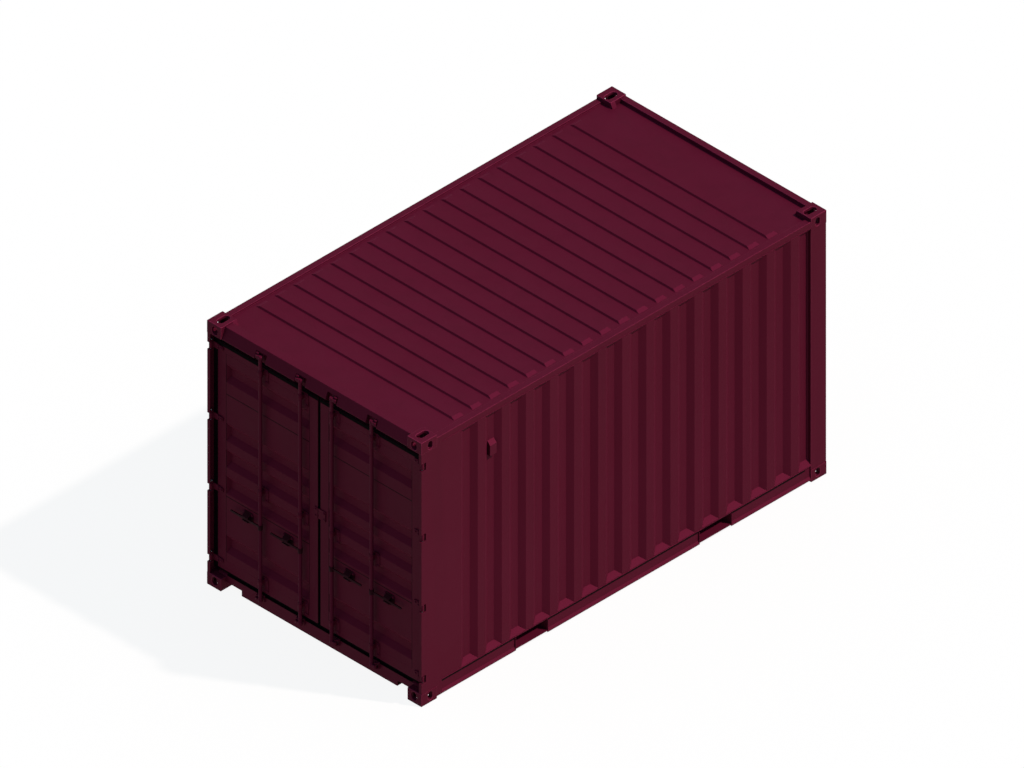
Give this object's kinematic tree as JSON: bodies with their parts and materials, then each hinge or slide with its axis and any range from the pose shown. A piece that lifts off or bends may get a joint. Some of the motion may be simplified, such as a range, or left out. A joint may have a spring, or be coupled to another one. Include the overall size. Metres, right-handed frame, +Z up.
{
  "type": "shipping container",
  "caption": "Corrugated steel shipping container with corner castings, ribbed roof, plywood floor, hinged end doors and turning lock bars.",
  "frame": {"origin": "on the ground under the middle of the container, level with the bottom castings", "axes": "+X along the length from the door end to the closed end, +Y to the left for someone facing the doors, +Z up"},
  "size_m": [4.6, 2.438, 2.591],
  "materials": {
    "painted_steel": "satin",
    "lock_gear_steel": "satin",
    "door_rubber": "matte",
    "floor_plywood": "matte"
  },
  "bodies": {
    "container": {"bottom_castings": "painted_steel", "top_castings": "painted_steel", "left_door_post": "painted_steel", "right_door_post": "painted_steel", "left_front_post": "painted_steel", "right_front_post": "painted_steel", "left_bottom_rail": "painted_steel", "right_bottom_rail": "painted_steel", "top_side_rails": "painted_steel", "front_bottom_rail": "painted_steel", "front_top_rail": "painted_steel", "door_sill": "painted_steel", "door_header": "painted_steel", "left_side_wall": "painted_steel", "right_side_wall": "painted_steel", "front_wall": "painted_steel", "roof_panel": "painted_steel", "floor_deck": "floor_plywood", "cross_members": "painted_steel", "forklift_pockets": "painted_steel", "side_vents": "painted_steel", "cam_keepers": "lock_gear_steel", "hinge_pins": "lock_gear_steel"},
    "left_door": {"left_door_frame": "painted_steel", "left_door_panel": "painted_steel", "left_door_seal": "door_rubber", "left_hinge_blades": "painted_steel", "left_bar_guides": "painted_steel", "left_handle_catches": "painted_steel", "left_seal_plate": "painted_steel"},
    "right_door": {"right_door_frame": "painted_steel", "right_door_panel": "painted_steel", "right_door_seal": "door_rubber", "right_hinge_blades": "painted_steel", "right_bar_guides": "painted_steel", "right_handle_catches": "painted_steel", "right_seal_plate": "painted_steel"},
    "left_outer_lock": {"left_outer_bar": "lock_gear_steel", "left_outer_handle": "lock_gear_steel"},
    "left_inner_lock": {"left_inner_bar": "lock_gear_steel", "left_inner_handle": "lock_gear_steel"},
    "right_outer_lock": {"right_outer_bar": "lock_gear_steel", "right_outer_handle": "lock_gear_steel"},
    "right_inner_lock": {"right_inner_bar": "lock_gear_steel", "right_inner_handle": "lock_gear_steel"}
  },
  "joints": [
    {"name": "left_door_hinge", "type": "hinge", "parent": "container", "child": "left_door", "pos_m": [-2.272, 1.201, 1.3], "axis": [0, 0, -1], "range_deg": [0, 260]},
    {"name": "right_door_hinge", "type": "hinge", "parent": "container", "child": "right_door", "pos_m": [-2.272, -1.201, 1.3], "axis": [0, 0, 1], "range_deg": [0, 260]},
    {"name": "left_outer_lock_turn", "type": "hinge", "parent": "left_door", "child": "left_outer_lock", "pos_m": [-2.2795, 0.631, 1.3], "axis": [0, 0, -1], "range_deg": [-100, 0]},
    {"name": "left_inner_lock_turn", "type": "hinge", "parent": "left_door", "child": "left_inner_lock", "pos_m": [-2.2795, 0.178, 1.3], "axis": [0, 0, -1], "range_deg": [-100, 0]},
    {"name": "right_outer_lock_turn", "type": "hinge", "parent": "right_door", "child": "right_outer_lock", "pos_m": [-2.2795, -0.631, 1.3], "axis": [0, 0, 1], "range_deg": [-100, 0]},
    {"name": "right_inner_lock_turn", "type": "hinge", "parent": "right_door", "child": "right_inner_lock", "pos_m": [-2.2795, -0.178, 1.3], "axis": [0, 0, 1], "range_deg": [-100, 0]}
  ]
}
